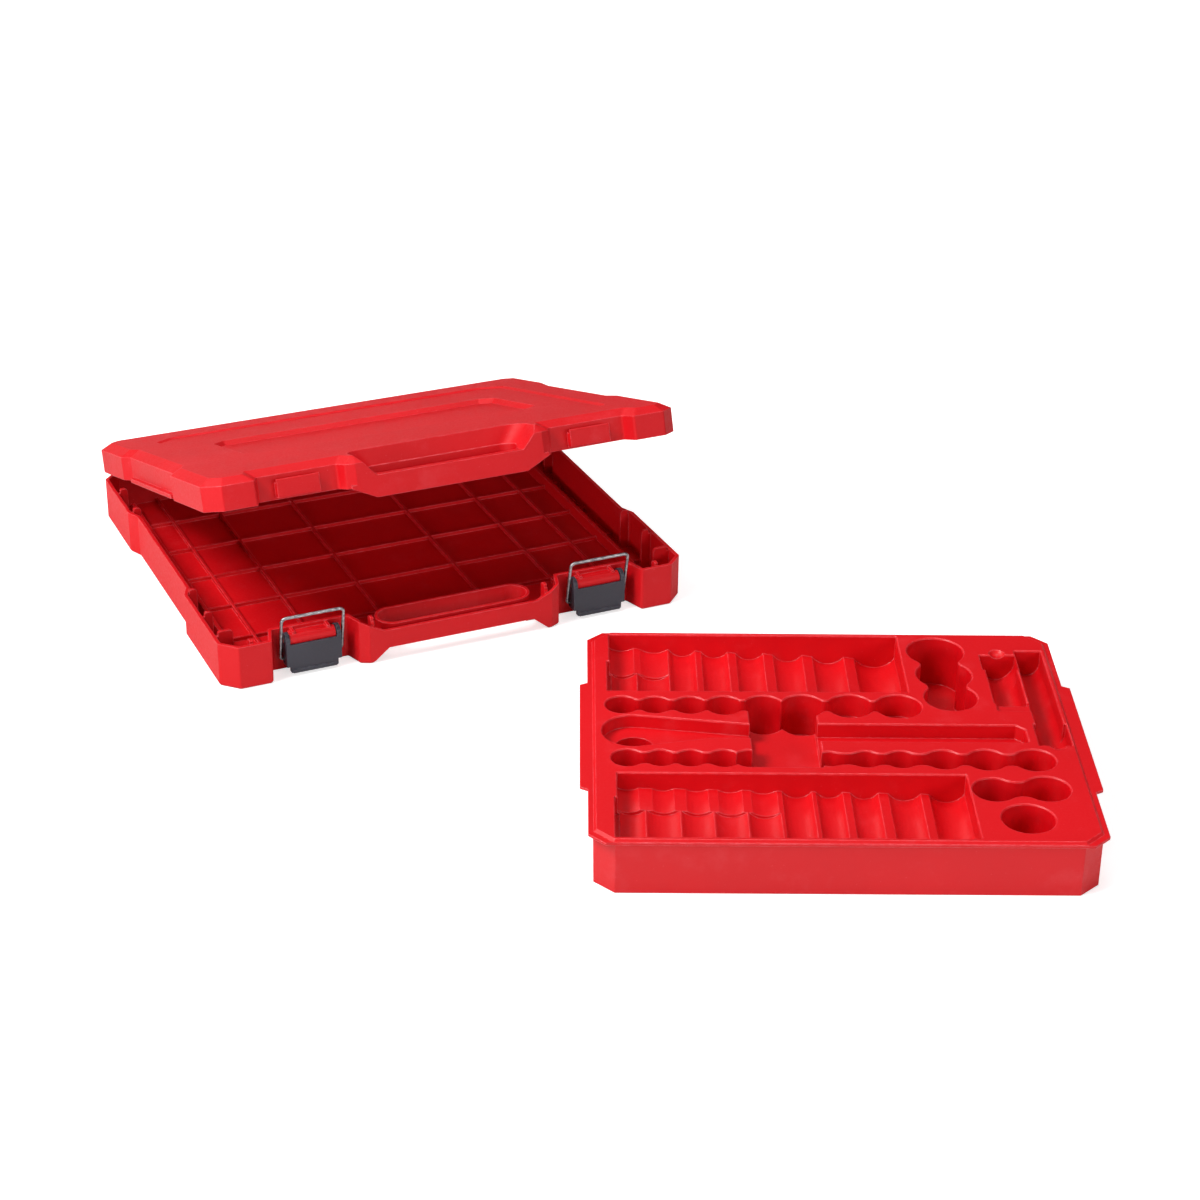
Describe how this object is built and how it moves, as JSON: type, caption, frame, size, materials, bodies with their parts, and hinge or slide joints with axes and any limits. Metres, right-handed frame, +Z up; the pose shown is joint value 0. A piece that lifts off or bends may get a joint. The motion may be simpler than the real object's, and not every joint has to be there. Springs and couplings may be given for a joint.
{
  "type": "socket organizer case with lift-out tray",
  "caption": "Flat hinged plastic tool case with draw latches and a finger-hole handle, its moulded socket tray standing beside it.",
  "frame": {"origin": "centre of the underside of the case base", "axes": "+X along the rear hinge, to the right seen from the front; +Y from the handle side to the hinge side; +Z up"},
  "size_m": [0.4517, 0.6696, 0.1278],
  "materials": {
    "red_plastic": "satin moulded",
    "charcoal_plastic": "fine moulded texture",
    "steel_wire": "drawn wire, zinc grey"
  },
  "bodies": {
    "case": {"case_base": "red_plastic", "hinge_pin_left": "steel_wire", "hinge_pin_right": "steel_wire", "latch_pin_left": "steel_wire", "latch_pin_right": "steel_wire"},
    "lid": {"lid": "red_plastic"},
    "lever_left": {"latch_lever_left": "charcoal_plastic"},
    "lever_right": {"latch_lever_right": "charcoal_plastic"},
    "bail_left": {"latch_bail_left": "steel_wire"},
    "bail_right": {"latch_bail_right": "steel_wire"},
    "tray": {"socket_tray": "red_plastic"}
  },
  "joints": [
    {"name": "lid_hinge", "type": "hinge", "parent": "case", "child": "lid", "pos_m": [0, 0.1415, 0.02815], "axis": [-1, 0, 0], "range_deg": [-17.5, 162.5]},
    {"name": "lever_left_hinge", "type": "hinge", "parent": "case", "child": "lever_left", "pos_m": [-0.094, -0.127, 0.0223], "axis": [-1, 0, 0], "range_deg": [0, 52]},
    {"name": "bail_left_hinge", "type": "hinge", "parent": "lever_left", "child": "bail_left", "pos_m": [-0.094, -0.1254, 0.0095], "axis": [1, 0, 0], "range_deg": [-8.1, 90]},
    {"name": "lever_right_hinge", "type": "hinge", "parent": "case", "child": "lever_right", "pos_m": [0.094, -0.127, 0.0223], "axis": [-1, 0, 0], "range_deg": [0, 52]},
    {"name": "bail_right_hinge", "type": "hinge", "parent": "lever_right", "child": "bail_right", "pos_m": [0.094, -0.1254, 0.0095], "axis": [1, 0, 0], "range_deg": [-8.1, 90]},
    {"name": "tray_lift", "type": "slide", "parent": "case", "child": "tray", "axis": [0, 0, 1], "range_m": [0, 0.12]}
  ]
}
